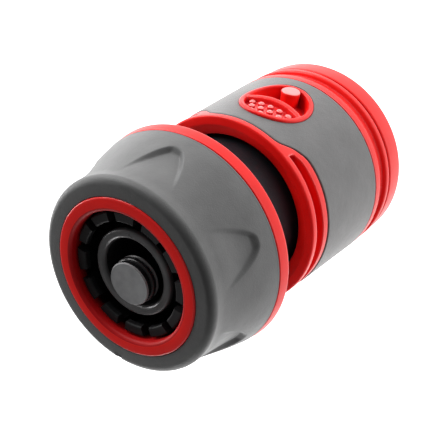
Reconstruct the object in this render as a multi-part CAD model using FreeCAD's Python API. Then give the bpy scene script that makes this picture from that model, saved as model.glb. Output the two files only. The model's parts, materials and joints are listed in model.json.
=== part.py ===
"""Garden hose quick connector with water stop, standing on its quick-connect end.

Millimetres. +Z runs along the axis towards the hose end, z = 0 is the mouth of the socket.
The oval windows of the sleeve lie on +X and -X, the crescent finger slots on +Y and -Y.
"""
import FreeCAD
import Part
import math
import os

# Clearances between pieces that move against each other
MOVE_GAP = 0.35
SEAL_GAP = 0.05

# Socket and barrel
SOCKET_R = 8.65
SOCKET_MOUTH_WIDENING = 0.3
SOCKET_SEAT_DROP = 3.1
SOCKET_CHAMFER = 0.85
SOCKET_DEPTH = 12.0
NOSE_BORE_R = 6.95
NOSE_BORE_DEPTH = 7.5
SOCKET_CONE = 1.0
SEAT_STEP = 2.2
THROAT_LENGTH = 1.5
CHAMBER_PLAY = 0.6
BARREL_WALL = 2.55
BARREL_SPRING_STEP = 0.2
NECK_STEP = 1.1
NECK_FILLET = 0.4

# Retaining ring that keeps the sleeve on the barrel
RING_HEIGHT = 2.2
RING_WIDTH = 3.6
RING_SEAT_STEP = 0.6
RING_SNAP = 0.3
RING_SNAP_Z = 1.1

# Locking pawls
PAWL_COUNT = 4
PAWL_Z = 6.5
PAWL_HEIGHT = 3.6
PAWL_WIDTH = 6.4
PAWL_HEAD_WIDTH = 8.4
PAWL_BITE = 0.85
PAWL_HEAD_THICKNESS = 0.7
PAWL_TIP_CHAMFER = 0.9
CAM_TAPER = 0.24

# Release sleeve
SLEEVE_FOOT_Z = 0.5
SLEEVE_LENGTH = 28.75
SLEEVE_WALL = 3.3
SLEEVE_TAPER = 0.6
SLEEVE_COLLAR = 9.4
SLEEVE_OPENING_GAP = 0.7
SLEEVE_CEILING = 1.7
LEDGE_THICKNESS = 1.5
LEDGE_RISE = 1.5
SLEEVE_EDGE = 0.5
SLEEVE_BEVEL_WIDTH = 1.8
SLEEVE_BEVEL_DEPTH = 0.9
GRIP_THICKNESS = 1.1
COLLAR_GROOVE = 0.75
COLLAR_BAND = 4.0
COLLAR_RIB = 1.3
COLLAR_LAND = 1.75
COLLAR_RIB_STEP = 0.4
GRIP_TOP_DROP = 1.15

# Crescents of the sleeve: edge of the soft grip and finger slot, by angle from the crescent's middle
CRESCENT_EDGE_ANGLES = (0, 20, 40, 50, 56, 60, 63, 66, 70)
CRESCENT_EDGE_DROPS = (4.5, 4.45, 4.4, 4.2, 3.5, 2.85, 2.15, 1.5, 1.15)
SLOT_ANGLES = (0, 20, 45, 51, 55, 57)
SLOT_WIDTHS = (2.0, 1.9, 1.75, 1.6, 1.2, 0.9)
SLOT_DEPTH = 1.5
SLOT_FLANGE = 1.15

# Oval windows of the sleeve
OVAL_TOP_DROP = 3.85
OVAL_COLLAR_GAP = 2.45
OVAL_WIDTH = 11.5
OVAL_RIM = 0.85
OVAL_RIM_PROUD = 0.25
OVAL_POCKET_DEPTH = 2.2
OVAL_PAD_DEPTH = 0.7
OVAL_RIDGE_R = 13.0
OVAL_RIDGE_WIDTH = 0.95
OVAL_RIDGE_DROP = 6.6
PEG_DIAMETER = 3.1
PEG_DROP = 4.1
PEG_PROUD = 0.4

# Sleeve spring and valve spring
SHOULDER_DROP = 4.4
SLEEVE_SPRING_GAP = 0.55
SLEEVE_SPRING_ROOM = 0.85
SLEEVE_SPRING_WIRE = 0.9
SLEEVE_SPRING_TURNS = 5
VALVE_SPRING_STEP = 1.3
VALVE_SPRING_WIRE = 0.7
VALVE_SPRING_TURNS = 5
WIRE_SIDES_COUNT = 8

# Clamp nut
NECK_GAP = 10.0
NUT_LENGTH = 15.05
NUT_WALL = 4.25
NUT_TAPER = 3.35
NUT_SAG = 0.05
NUT_OPENING_R = 10.2
NUT_RED_RING_WIDTH = 2.2
NUT_RED_PROUD = 0.15
NUT_BORE_LENGTH = 2.2
NUT_CONE_LENGTH = 3.6
NUT_CONE_FLARE = 1.4
NUT_RIM = 2.25
NUT_GRIP_THICKNESS = 1.6
NUT_EDGE = 0.5
NUT_FRONT_EDGE = 1.2
NUT_FRONT_BULGE = 0.75
NUT_FRONT_BULGE_REACH = 0.2
NOTCH_WIDTH = 1.3
NOTCH_DEPTH = 0.7

# Flame-shaped dents of the nut grip
DENT_COUNT = 6
DENT_DEPTH = 0.6
DENT_APEX_GAP = 1.1
DENT_FRONT_DROP = 3.1
DENT_HALF_ANGLE = 16.5
DENT_SAG = 0.8

# Thread collar of the barrel and its fit in the nut
THREAD_STEP = 1.5
COLLAR_LENGTH = 4.8
COLLAR_DROP = 9.3

# Clamp collet
FINGER_COUNT = 12
FINGER_SLOT = 1.5
FINGER_SLOT_ANGLE = 26.0
FINGER_THICKNESS = 1.5
FINGER_HOOK = 1.5
FINGER_TIP_DROP = 0.9
FINGER_TIP_LENGTH = 1.9
COLLET_FOOT_STEP = 1.6
COLLET_BEAD = 0.6
COLLET_FOOT_HEIGHT = 1.4

# Hose spigot, a separate insert pressed into the barrel
SPIGOT_R = 6.81
SPIGOT_WALL = 1.5
SPIGOT_LIP_DROP = 1.7
SPIGOT_LIP_ROUND = 0.6
SPIGOT_BARB_DEPTH = 0.4
SPIGOT_BARB_PITCH = 2.2
SPIGOT_BARB_COUNT = 2
SPIGOT_SHANK_WALL = 2.2
SPIGOT_SHANK_LENGTH = 8.4
SPIGOT_SEAL_WIDTH = 2.0
SPIGOT_SEAL_DEPTH = 1.3
SPIGOT_SEAL_DROP = 4.0

# Water-stop plunger, its guide and the head at the spigot mouth
STEM_R = 1.4
HEAD_PLAY = 1.0
HEAD_HEIGHT = 2.0
HEAD_FLANGE = 0.5
SEAL_RING_STEP = 0.5
SEAL_RING_WIRE = 1.8
GUIDE_HEIGHT = 3.0
GUIDE_SEAT_STEP = 0.69
GUIDE_RING = 1.5
GUIDE_HUB_WALL = 0.8
GUIDE_SPOKE_COUNT = 3
GUIDE_SPOKE_ANGLE = 30.0
GUIDE_SPOKE = 1.4
FOOT_GAP = 0.65
FOOT_HUB_WALL = 1.2
FOOT_HEIGHT = 2.0
FOOT_ARM_COUNT = 4
FOOT_ARM_ANGLE = 45.0
FOOT_ARM = 1.6
FOOT_DROP = 0.5
VALVE_TRAVEL = 4.0
CAP_RING_PLAY = 1.76
CAP_RING_PROUD = 0.2
CAP_THICKNESS = 0.9
CAP_CHAMFER = 0.3
CAP_WAIST_WALL = 0.7
CAP_WAIST = 1.7
VALVE_LEAN = 1.9
VALVE_LEAN_ANGLE = -129.0

# Radii that follow from the sizes above, from the socket outwards
SOCKET_MOUTH_R = SOCKET_R + SOCKET_MOUTH_WIDENING
BARREL_R = SOCKET_R + BARREL_WALL
BARREL_SPRING_R = BARREL_R - BARREL_SPRING_STEP
RING_SEAT_R = BARREL_R - RING_SEAT_STEP
RING_R = RING_SEAT_R + RING_WIDTH
PAWL_TIP_R = SOCKET_R - PAWL_BITE
PAWL_HEAD_R = BARREL_R + MOVE_GAP + PAWL_HEAD_THICKNESS
NECK_R = BARREL_SPRING_R + NECK_STEP
SLEEVE_SPRING_R = BARREL_SPRING_R + SLEEVE_SPRING_GAP + SLEEVE_SPRING_WIRE / 2
SLEEVE_CAVITY_R = SLEEVE_SPRING_R + SLEEVE_SPRING_WIRE / 2 + SLEEVE_SPRING_ROOM
SLEEVE_OPENING_R = NECK_R + SLEEVE_OPENING_GAP
SLEEVE_LOW_R = SLEEVE_CAVITY_R + SLEEVE_WALL
SLEEVE_TOP_R = SLEEVE_LOW_R - SLEEVE_TAPER
THREAD_R = NECK_R + THREAD_STEP
NUT_REAR_R = THREAD_R + MOVE_GAP + NUT_WALL
NUT_FRONT_R = NUT_REAR_R - NUT_TAPER
NUT_RED_RING_R = NUT_OPENING_R + NUT_RED_RING_WIDTH
NUT_CONE_R = NUT_OPENING_R + NUT_CONE_FLARE
COLLET_FOOT_R = THREAD_R - COLLET_FOOT_STEP
COLLET_BEAD_R = COLLET_FOOT_R + COLLET_BEAD
SPIGOT_BORE_R = SPIGOT_R - SPIGOT_WALL
GUIDE_R = SPIGOT_BORE_R + GUIDE_SEAT_STEP
SPIGOT_SHANK_R = GUIDE_R + SPIGOT_SHANK_WALL
CHAMBER_R = GUIDE_R + CHAMBER_PLAY
THROAT_R = CHAMBER_R - SEAT_STEP
HEAD_R = CHAMBER_R - HEAD_PLAY
SEAL_RING_R = THROAT_R + SEAL_RING_STEP
VALVE_SPRING_R = HEAD_R - VALVE_SPRING_STEP
FOOT_R = NOSE_BORE_R - FOOT_GAP
FOOT_HUB_R = STEM_R + FOOT_HUB_WALL
CAP_WAIST_R = STEM_R + CAP_WAIST_WALL
CAP_RING_R = SPIGOT_BORE_R - CAP_RING_PLAY
CAP_RING_WIRE = CAP_RING_R - CAP_WAIST_R
CAP_R = CAP_RING_R - CAP_RING_PROUD

# Heights that follow from the sizes above
SLEEVE_TOP_Z = SLEEVE_FOOT_Z + SLEEVE_LENGTH
COLLAR_TOP_Z = SLEEVE_FOOT_Z + SLEEVE_COLLAR
LEDGE_Z = PAWL_Z + PAWL_HEIGHT / 2 + LEDGE_RISE
LEDGE_TOP_Z = LEDGE_Z + LEDGE_THICKNESS
SHOULDER_Z = SLEEVE_TOP_Z - SHOULDER_DROP
NUT_REAR_Z = SLEEVE_TOP_Z + NECK_GAP
NUT_FRONT_Z = NUT_REAR_Z + NUT_LENGTH
BARREL_TOP_Z = NUT_FRONT_Z - COLLAR_DROP
SPIGOT_Z = BARREL_TOP_Z - SPIGOT_SHANK_LENGTH
SPIGOT_LIP_Z = NUT_FRONT_Z - SPIGOT_LIP_DROP
GUIDE_TOP_Z = SPIGOT_Z + GUIDE_HEIGHT
THROAT_Z = SOCKET_DEPTH + SOCKET_CONE + NOSE_BORE_DEPTH
SEAT_Z = THROAT_Z + THROAT_LENGTH
CHAMBER_Z = SEAT_Z + CHAMBER_R - THROAT_R
OVAL_LENGTH = SLEEVE_LENGTH - SLEEVE_COLLAR - OVAL_TOP_DROP - OVAL_COLLAR_GAP
OVAL_CENTRE_Z = SLEEVE_TOP_Z - OVAL_TOP_DROP - OVAL_LENGTH / 2
DENT_APEX_Z = NUT_REAR_Z + NUT_RIM + DENT_APEX_GAP
DENT_FRONT_Z = NUT_FRONT_Z - DENT_FRONT_DROP

# Seal ring of the plunger rests on the 45 degree seat of the throat, lower on the side it leans to
LEAN_SLOPE = math.tan(math.radians(VALVE_LEAN))
SEAL_RING_Z = (SEAT_Z + SEAL_RING_R - THROAT_R + (SEAL_RING_WIRE / 2 + SEAL_GAP) * math.sqrt(2)
               + SEAL_RING_R * LEAN_SLOPE)
HEAD_Z = SEAL_RING_Z + SEAL_RING_WIRE / 2
HEAD_TOP_Z = HEAD_Z + HEAD_HEIGHT
FOOT_TOP_Z = THROAT_Z - VALVE_TRAVEL - FOOT_DROP
FOOT_Z = FOOT_TOP_Z - FOOT_HEIGHT
GUIDE_HUB_BORE_R = STEM_R + (GUIDE_TOP_Z - SEAL_RING_Z) * LEAN_SLOPE + MOVE_GAP

Z_AXIS = FreeCAD.Vector(0, 0, 1)
ORIGIN = FreeCAD.Vector(0, 0, 0)


def vec(x, y, z):
    return FreeCAD.Vector(x, y, z)


def outline(points, place=lambda u, v: vec(u, 0, v)):
    """Closed wire through (u, v) points; a third value rounds that corner by its radius."""
    count = len(points)
    starts = []
    ends = []
    mids = []
    for index, point in enumerate(points):
        here = vec(point[0], point[1], 0)
        before = vec(points[index - 1][0], points[index - 1][1], 0) - here
        after = vec(points[(index + 1) % count][0], points[(index + 1) % count][1], 0) - here
        before.normalize()
        after.normalize()
        radius = point[2] if len(point) > 2 else 0
        half = before.getAngle(after) / 2
        if radius and half < math.pi / 2 - 0.01:
            reach = radius / math.tan(half)
            bisector = before + after
            bisector.normalize()
            centre = here + bisector * (radius / math.sin(half))
            starts.append(here + before * reach)
            ends.append(here + after * reach)
            mids.append(centre - bisector * radius)
        else:
            starts.append(here)
            ends.append(here)
            mids.append(None)
    edges = []
    for index in range(count):
        first = place(ends[index - 1].x, ends[index - 1].y)
        second = place(starts[index].x, starts[index].y)
        if first.distanceToPoint(second) > 1e-6:
            edges.append(Part.LineSegment(first, second).toShape())
        if mids[index] is not None:
            middle = place(mids[index].x, mids[index].y)
            last = place(ends[index].x, ends[index].y)
            edges.append(Part.Arc(second, middle, last).toShape())
    return Part.Wire(edges)


def turned(points):
    """Solid of revolution about the axis from an (r, z) outline."""
    return Part.Face(outline(points)).revolve(ORIGIN, Z_AXIS, 360)


def tube(inner, outer, low, high):
    return turned([(inner, low), (outer, low), (outer, high), (inner, high)])


def rod(radius, low, high):
    return Part.makeCylinder(radius, high - low, vec(0, 0, low))


def box(x_low, x_high, width, low, high):
    """Box along +X, centred on Y."""
    return Part.makeBox(x_high - x_low, width, high - low, vec(x_low, -width / 2, low))


def spun(shape, angle):
    copy = shape.copy()
    copy.rotate(ORIGIN, Z_AXIS, angle)
    return copy


def around(shape, count, start=0.0):
    return [spun(shape, start + 360.0 * index / count) for index in range(count)]


def spring(radius, wire, low, high, turns):
    """Coil spring between two seats; its wire is a polygon with the area of the round wire."""
    height = high - low - wire
    helix = Part.makeHelix(height / turns, height, radius)
    helix.translate(vec(0, 0, low + wire / 2))
    tangent = helix.Edges[0].tangentAt(helix.Edges[0].FirstParameter)
    sector = 2 * math.pi / WIRE_SIDES_COUNT
    reach = wire / 2 * math.sqrt(sector / math.sin(sector))
    outwards = vec(1, 0, 0)
    upwards = tangent.cross(outwards)
    corners = []
    for side in range(WIRE_SIDES_COUNT):
        angle = sector * (side + 0.5)
        step = outwards * (reach * math.cos(angle)) + upwards * (reach * math.sin(angle))
        corners.append(vec(radius, 0, low + wire / 2) + step)
    section = Part.makePolygon(corners + corners[:1])
    return Part.Wire(helix).makePipeShell([section], True, True)


def cam_radius(z):
    """Radius of the sleeve's inner cone that holds the pawls in."""
    return PAWL_HEAD_R + MOVE_GAP + (PAWL_Z - z) * CAM_TAPER


def sleeve_radius(z):
    """Outer radius of the sleeve, a slight taper towards the flange."""
    share = (z - COLLAR_TOP_Z) / (SLEEVE_TOP_Z - COLLAR_TOP_Z)
    return SLEEVE_LOW_R + (SLEEVE_TOP_R - SLEEVE_LOW_R) * share


def nut_radius(z):
    """Outer radius of the nut: a shallow S from the front edge to the rear rim, and a bulge at the front."""
    share = (NUT_FRONT_Z - z) / NUT_LENGTH
    rise = NUT_REAR_R - NUT_FRONT_R
    bulge = NUT_FRONT_BULGE * max(0.0, 1 - share / NUT_FRONT_BULGE_REACH) ** 2
    return NUT_FRONT_R + rise * (share - NUT_SAG * math.sin(2 * math.pi * share)) + bulge


def lean(shape):
    """Tilts a plunger piece about its seat, as far as the play in the guide lets it."""
    copy = shape.copy()
    angle = math.radians(VALVE_LEAN_ANGLE)
    tilt_axis = vec(-math.sin(angle), math.cos(angle), 0)
    copy.rotate(vec(0, 0, SEAL_RING_Z), tilt_axis, VALVE_LEAN)
    return copy


def make_barrel():
    thread_low = BARREL_TOP_Z - COLLAR_LENGTH
    seat_low = SOCKET_DEPTH - SOCKET_SEAT_DROP
    solid = turned([
        (SOCKET_MOUTH_R + SOCKET_CHAMFER, 0),
        (RING_SEAT_R, 0),
        (RING_SEAT_R, RING_SNAP_Z - RING_SNAP),
        (RING_SEAT_R + RING_SNAP, RING_SNAP_Z),
        (RING_SEAT_R, RING_SNAP_Z + RING_SNAP),
        (RING_SEAT_R, RING_HEIGHT),
        (BARREL_R, RING_HEIGHT),
        (BARREL_R, LEDGE_Z),
        (BARREL_SPRING_R, LEDGE_Z),
        (BARREL_SPRING_R, SHOULDER_Z),
        (NECK_R, SHOULDER_Z),
        (NECK_R, thread_low - (THREAD_R - NECK_R), NECK_FILLET),
        (THREAD_R, thread_low),
        (THREAD_R, BARREL_TOP_Z, 0.3),
        (SPIGOT_SHANK_R, BARREL_TOP_Z),
        (SPIGOT_SHANK_R, SPIGOT_Z),
        (CHAMBER_R, SPIGOT_Z),
        (CHAMBER_R, CHAMBER_Z),
        (THROAT_R, SEAT_Z),
        (THROAT_R, THROAT_Z),
        (NOSE_BORE_R, THROAT_Z),
        (NOSE_BORE_R, SOCKET_DEPTH + SOCKET_CONE),
        (SOCKET_R, SOCKET_DEPTH),
        (SOCKET_R, seat_low + SOCKET_MOUTH_WIDENING),
        (SOCKET_MOUTH_R, seat_low),
        (SOCKET_MOUTH_R, SOCKET_CHAMFER),
    ])
    window = box(PAWL_TIP_R, BARREL_R + MOVE_GAP, PAWL_WIDTH + 2 * MOVE_GAP,
                 PAWL_Z - PAWL_HEIGHT / 2 - MOVE_GAP, PAWL_Z + PAWL_HEIGHT / 2 + MOVE_GAP)
    return solid.cut(around(window, PAWL_COUNT))


def make_retaining_ring():
    return turned([
        (RING_SEAT_R, 0),
        (RING_R, 0, 0.4),
        (RING_R, RING_HEIGHT, 0.2),
        (RING_SEAT_R, RING_HEIGHT),
        (RING_SEAT_R, RING_SNAP_Z + RING_SNAP),
        (RING_SEAT_R + RING_SNAP, RING_SNAP_Z),
        (RING_SEAT_R, RING_SNAP_Z - RING_SNAP),
    ])


def make_pawl():
    """Locking pawl on +X: a tip through the window and a wider head outside the barrel."""
    low = PAWL_Z - PAWL_HEIGHT / 2
    high = PAWL_Z + PAWL_HEIGHT / 2
    head_inner = BARREL_R + MOVE_GAP
    body = turned([
        (PAWL_TIP_R, low + PAWL_TIP_CHAMFER),
        (PAWL_TIP_R + PAWL_TIP_CHAMFER, low),
        (cam_radius(low) - MOVE_GAP, low),
        (cam_radius(high) - MOVE_GAP, high),
        (PAWL_TIP_R, high),
    ])
    tip = box(0, head_inner, PAWL_WIDTH, low, high)
    head = box(0, 2 * PAWL_HEAD_R, PAWL_HEAD_WIDTH, low, high).cut(rod(head_inner, low, high))
    return body.common(tip.fuse(head)).removeSplitter()


def mirrored(angles, values):
    """A table over one half of a crescent, carried over to its other half."""
    pairs = list(zip(angles, values))
    return [(-angle, value) for angle, value in reversed(pairs[1:])] + pairs


def swept_band(spans, inner, outer):
    """Solid round the axis over +Y, lofted through (angle, low, high) sections between two radii."""
    sections = []
    for angle, low, high in spans:
        across = math.radians(90 + angle)

        def place(u, v, across=across):
            return vec(u * math.cos(across), u * math.sin(across), v)

        sections.append(outline([(inner, low), (outer, low), (outer, high), (inner, high)], place))
    return Part.makeLoft(sections, True, True)


def crescent_cutter():
    """Space above the wavy edge of the grip, one crescent wide."""
    edge = mirrored(CRESCENT_EDGE_ANGLES, CRESCENT_EDGE_DROPS)
    spans = [(angle, SLEEVE_TOP_Z - drop, SLEEVE_TOP_Z + SLEEVE_CEILING) for angle, drop in edge]
    return swept_band(spans, SLEEVE_CAVITY_R, SLEEVE_LOW_R + SLEEVE_WALL)


def slot_cutter():
    """Finger slot under the flange, with a blunt, slanted end on each side."""
    high = SLEEVE_TOP_Z - SLOT_FLANGE
    spans = [(angle, high - width, high) for angle, width in mirrored(SLOT_ANGLES, SLOT_WIDTHS)]
    return swept_band(spans, SLEEVE_TOP_R - SLOT_DEPTH, SLEEVE_LOW_R + SLEEVE_WALL)


def oval_prism(margin):
    """Elliptical prism along +X at the oval window, grown or shrunk by the margin."""
    half_length = OVAL_LENGTH / 2 + margin
    half_width = OVAL_WIDTH / 2 + margin
    ellipse = Part.Ellipse(vec(0, 0, 0), max(half_length, half_width), min(half_length, half_width))
    face = Part.Face(Part.Wire(ellipse.toShape()))
    if half_width > half_length:
        face.rotate(ORIGIN, Z_AXIS, 90)
    face.rotate(ORIGIN, vec(0, 1, 0), -90)
    face.translate(vec(SLEEVE_OPENING_R - OVAL_POCKET_DEPTH, 0, OVAL_CENTRE_Z))
    return face.extrude(vec(SLEEVE_LOW_R, 0, 0))


def ridge_prism(radius):
    """Round prism along +X that bounds the dotted pad of the oval window."""
    centre_z = SLEEVE_TOP_Z - OVAL_TOP_DROP - OVAL_RIDGE_DROP + OVAL_RIDGE_R
    start = vec(SLEEVE_OPENING_R - OVAL_POCKET_DEPTH, 0, centre_z)
    return Part.makeCylinder(radius, SLEEVE_LOW_R, start, vec(1, 0, 0))


def make_sleeve_grip():
    """Soft overmould: a thin shell with the two ovals and the two crescents left open."""
    low = COLLAR_TOP_Z
    high = SLEEVE_TOP_Z - GRIP_TOP_DROP
    solid = turned([
        (sleeve_radius(low) - GRIP_THICKNESS, low),
        (sleeve_radius(low), low, 0.3),
        (sleeve_radius(high), high, 0.3),
        (sleeve_radius(high) - GRIP_THICKNESS, high),
    ])
    crescent = crescent_cutter()
    solid = solid.cut([crescent, spun(crescent, 180)])
    oval = oval_prism(0)
    return solid.cut([oval, spun(oval, 180)])


def make_sleeve_shell(grip):
    collar_low = SLEEVE_FOOT_Z
    band_top = collar_low + COLLAR_BAND
    rib_low = band_top + COLLAR_RIB_STEP
    rib_top = rib_low + COLLAR_RIB
    groove_top = COLLAR_TOP_Z - COLLAR_LAND
    deep = SLEEVE_LOW_R - COLLAR_GROOVE
    grip_r = sleeve_radius(SLEEVE_TOP_Z)
    solid = turned([
        (RING_R + MOVE_GAP, collar_low),
        (SLEEVE_LOW_R - 0.1, collar_low, 0.8),
        (SLEEVE_LOW_R - 0.1, band_top, 0.5),
        (deep, band_top + 0.2),
        (deep, rib_low),
        (SLEEVE_LOW_R, rib_low + 0.1, 0.5),
        (SLEEVE_LOW_R, rib_top, 0.5),
        (deep, rib_top + 0.2),
        (deep, groove_top),
        (SLEEVE_LOW_R, groove_top + 0.1, 0.4),
        (SLEEVE_LOW_R, COLLAR_TOP_Z),
        (grip_r, SLEEVE_TOP_Z, SLEEVE_EDGE),
        (SLEEVE_OPENING_R + SLEEVE_BEVEL_WIDTH, SLEEVE_TOP_Z),
        (SLEEVE_OPENING_R, SLEEVE_TOP_Z - SLEEVE_BEVEL_DEPTH),
        (SLEEVE_OPENING_R, SLEEVE_TOP_Z - SLEEVE_CEILING),
        (SLEEVE_CAVITY_R, SLEEVE_TOP_Z - SLEEVE_CEILING - 0.5),
        (SLEEVE_CAVITY_R, LEDGE_TOP_Z),
        (BARREL_R + MOVE_GAP, LEDGE_TOP_Z),
        (BARREL_R + MOVE_GAP, LEDGE_Z),
        (cam_radius(LEDGE_Z), LEDGE_Z),
        (cam_radius(RING_HEIGHT), RING_HEIGHT),
        (RING_R + MOVE_GAP, RING_HEIGHT),
    ])
    slot = slot_cutter()
    solid = solid.cut([slot, spun(slot, 180), grip])
    for side in (0, 180):
        solid = solid.fuse(spun(oval_rim(), side))
        solid = solid.cut(spun(oval_hollow(), side))
        solid = solid.fuse(spun(oval_peg(), side))
    return solid.removeSplitter()


def sleeve_ring(inner, outer):
    """Tube over the oval's height, concentric with the sleeve."""
    return tube(inner, outer, OVAL_CENTRE_Z - OVAL_LENGTH, OVAL_CENTRE_Z + OVAL_LENGTH / 2 + OVAL_TOP_DROP)


def oval_rim():
    rim = oval_prism(0).cut(oval_prism(-OVAL_RIM))
    outer = sleeve_radius(OVAL_CENTRE_Z) + OVAL_RIM_PROUD
    return rim.common(sleeve_ring(outer - GRIP_THICKNESS - 1, outer))


def oval_hollow():
    """What is taken out inside the rim: the deep pocket and the shallow pad."""
    inside = oval_prism(-OVAL_RIM)
    outer = SLEEVE_LOW_R + SLEEVE_WALL
    floor_r = sleeve_radius(OVAL_CENTRE_Z) - OVAL_POCKET_DEPTH
    pocket = inside.common(sleeve_ring(floor_r, outer))
    pocket = pocket.cut(ridge_prism(OVAL_RIDGE_R + OVAL_RIDGE_WIDTH / 2))
    pad_r = sleeve_radius(OVAL_CENTRE_Z) - OVAL_PAD_DEPTH
    pad = inside.common(sleeve_ring(pad_r, outer))
    pad = pad.common(ridge_prism(OVAL_RIDGE_R - OVAL_RIDGE_WIDTH / 2))
    return pocket.fuse(pad)


def oval_peg():
    """The round peg in the pocket."""
    surface = sleeve_radius(OVAL_CENTRE_Z)
    root = surface - OVAL_POCKET_DEPTH - SLEEVE_EDGE
    centre = vec(root, 0, OVAL_CENTRE_Z - PEG_DROP)
    return Part.makeCylinder(PEG_DIAMETER / 2, surface + PEG_PROUD - root, centre, vec(1, 0, 0))


def make_plunger():
    groove_r = SEAL_RING_R - SEAL_RING_WIRE / 2
    groove_low = SEAL_RING_Z - SEAL_RING_WIRE / 2
    solid = turned([
        (0, FOOT_Z),
        (STEM_R, FOOT_Z),
        (STEM_R, groove_low - HEAD_FLANGE),
        (THROAT_R, groove_low - HEAD_FLANGE),
        (THROAT_R, groove_low),
        (groove_r, groove_low),
        (groove_r, HEAD_Z),
        (HEAD_R, HEAD_Z, 0.3),
        (HEAD_R, HEAD_TOP_Z, 0.3),
        (STEM_R, HEAD_TOP_Z),
        (STEM_R, NUT_FRONT_Z - CAP_THICKNESS),
        (0, NUT_FRONT_Z - CAP_THICKNESS),
    ])
    return lean(solid)


def make_plunger_seal():
    ring = Part.makeTorus(SEAL_RING_R, SEAL_RING_WIRE / 2, vec(0, 0, SEAL_RING_Z))
    return lean(ring)


def make_plunger_foot():
    hub = rod(FOOT_HUB_R, FOOT_Z, FOOT_TOP_Z)
    arm = box(0, FOOT_R, FOOT_ARM, FOOT_Z, FOOT_TOP_Z)
    solid = hub.fuse(around(arm, FOOT_ARM_COUNT, FOOT_ARM_ANGLE)).removeSplitter()
    solid = solid.common(rod(FOOT_R, FOOT_Z, FOOT_TOP_Z))
    return lean(solid.cut(rod(STEM_R, FOOT_Z, FOOT_TOP_Z)))


def make_plunger_guide():
    """Web pressed into the lower end of the spigot, with a loose hole for the stem."""
    ring = tube(GUIDE_R - GUIDE_RING, GUIDE_R, SPIGOT_Z, GUIDE_TOP_Z)
    hub_r = GUIDE_HUB_BORE_R + GUIDE_HUB_WALL
    spoke = box(0, GUIDE_R - GUIDE_RING / 2, GUIDE_SPOKE, SPIGOT_Z, GUIDE_TOP_Z)
    solid = ring.fuse([rod(hub_r, SPIGOT_Z, GUIDE_TOP_Z)] + around(spoke, GUIDE_SPOKE_COUNT, GUIDE_SPOKE_ANGLE))
    return solid.cut(rod(GUIDE_HUB_BORE_R, SPIGOT_Z - 1, GUIDE_TOP_Z + 1)).removeSplitter()


def make_valve_cap():
    """Disc at the spigot mouth, pressed on the end of the stem."""
    under = NUT_FRONT_Z - CAP_THICKNESS
    low = under - CAP_WAIST
    solid = turned([
        (STEM_R, low),
        (CAP_WAIST_R, low),
        (CAP_WAIST_R, under),
        (CAP_R, under),
        (CAP_R, NUT_FRONT_Z - CAP_CHAMFER),
        (CAP_R - CAP_CHAMFER, NUT_FRONT_Z),
        (0, NUT_FRONT_Z),
        (0, under),
        (STEM_R, under),
    ])
    return lean(solid)


def make_cap_ring():
    """Rubber ring around the cap's waist, just behind the disc."""
    wire_r = CAP_RING_WIRE / 2
    centre_z = NUT_FRONT_Z - CAP_THICKNESS - wire_r
    ring = Part.makeTorus(CAP_WAIST_R + wire_r, wire_r, vec(0, 0, centre_z))
    return lean(ring)


def make_spigot():
    seal_top = BARREL_TOP_Z - SPIGOT_SEAL_DROP
    seal_low = seal_top - SPIGOT_SEAL_WIDTH
    barbs = []
    for index in range(SPIGOT_BARB_COUNT, 0, -1):
        crest = SPIGOT_LIP_Z - index * SPIGOT_BARB_PITCH
        barbs.append((SPIGOT_R, crest))
        barbs.append((SPIGOT_R - SPIGOT_BARB_DEPTH, crest + SPIGOT_BARB_PITCH * 0.9))
    last_crest = SPIGOT_LIP_Z - SPIGOT_BARB_PITCH * 0.1
    barbs.pop()
    barbs.append((SPIGOT_R - SPIGOT_BARB_DEPTH, last_crest - SPIGOT_BARB_PITCH * 0.35))
    return turned([
        (GUIDE_R, SPIGOT_Z),
        (SPIGOT_SHANK_R, SPIGOT_Z),
        (SPIGOT_SHANK_R, seal_low),
        (SPIGOT_SHANK_R - SPIGOT_SEAL_DEPTH, seal_low),
        (SPIGOT_SHANK_R - SPIGOT_SEAL_DEPTH, seal_top),
        (SPIGOT_SHANK_R, seal_top),
        (SPIGOT_SHANK_R, BARREL_TOP_Z),
        (SPIGOT_R, BARREL_TOP_Z),
    ] + barbs + [
        (SPIGOT_R, last_crest - SPIGOT_BARB_PITCH * 0.3),
        (SPIGOT_R, SPIGOT_LIP_Z, SPIGOT_LIP_ROUND),
        (SPIGOT_BORE_R, SPIGOT_LIP_Z, SPIGOT_LIP_ROUND),
        (SPIGOT_BORE_R, GUIDE_TOP_Z),
        (GUIDE_R, GUIDE_TOP_Z),
    ])


def make_spigot_seal():
    """Rubber ring in the shank's groove, flattened against the barrel."""
    seal_z = BARREL_TOP_Z - SPIGOT_SEAL_DROP - SPIGOT_SEAL_WIDTH / 2
    half = SPIGOT_SEAL_DEPTH / 2
    flat = half / 2
    inner = SPIGOT_SHANK_R - SPIGOT_SEAL_DEPTH
    return turned([
        (inner, seal_z - flat),
        (inner + flat, seal_z - half),
        (SPIGOT_SHANK_R - flat, seal_z - half),
        (SPIGOT_SHANK_R, seal_z - flat),
        (SPIGOT_SHANK_R, seal_z + flat),
        (SPIGOT_SHANK_R - flat, seal_z + half),
        (inner + flat, seal_z + half),
        (inner, seal_z + flat),
    ])


def collet_finger_radii():
    """Outer radii of the fingers at the tip and at the root, clear of the nut's cone."""
    return NUT_OPENING_R - MOVE_GAP, NUT_CONE_R - MOVE_GAP


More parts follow.
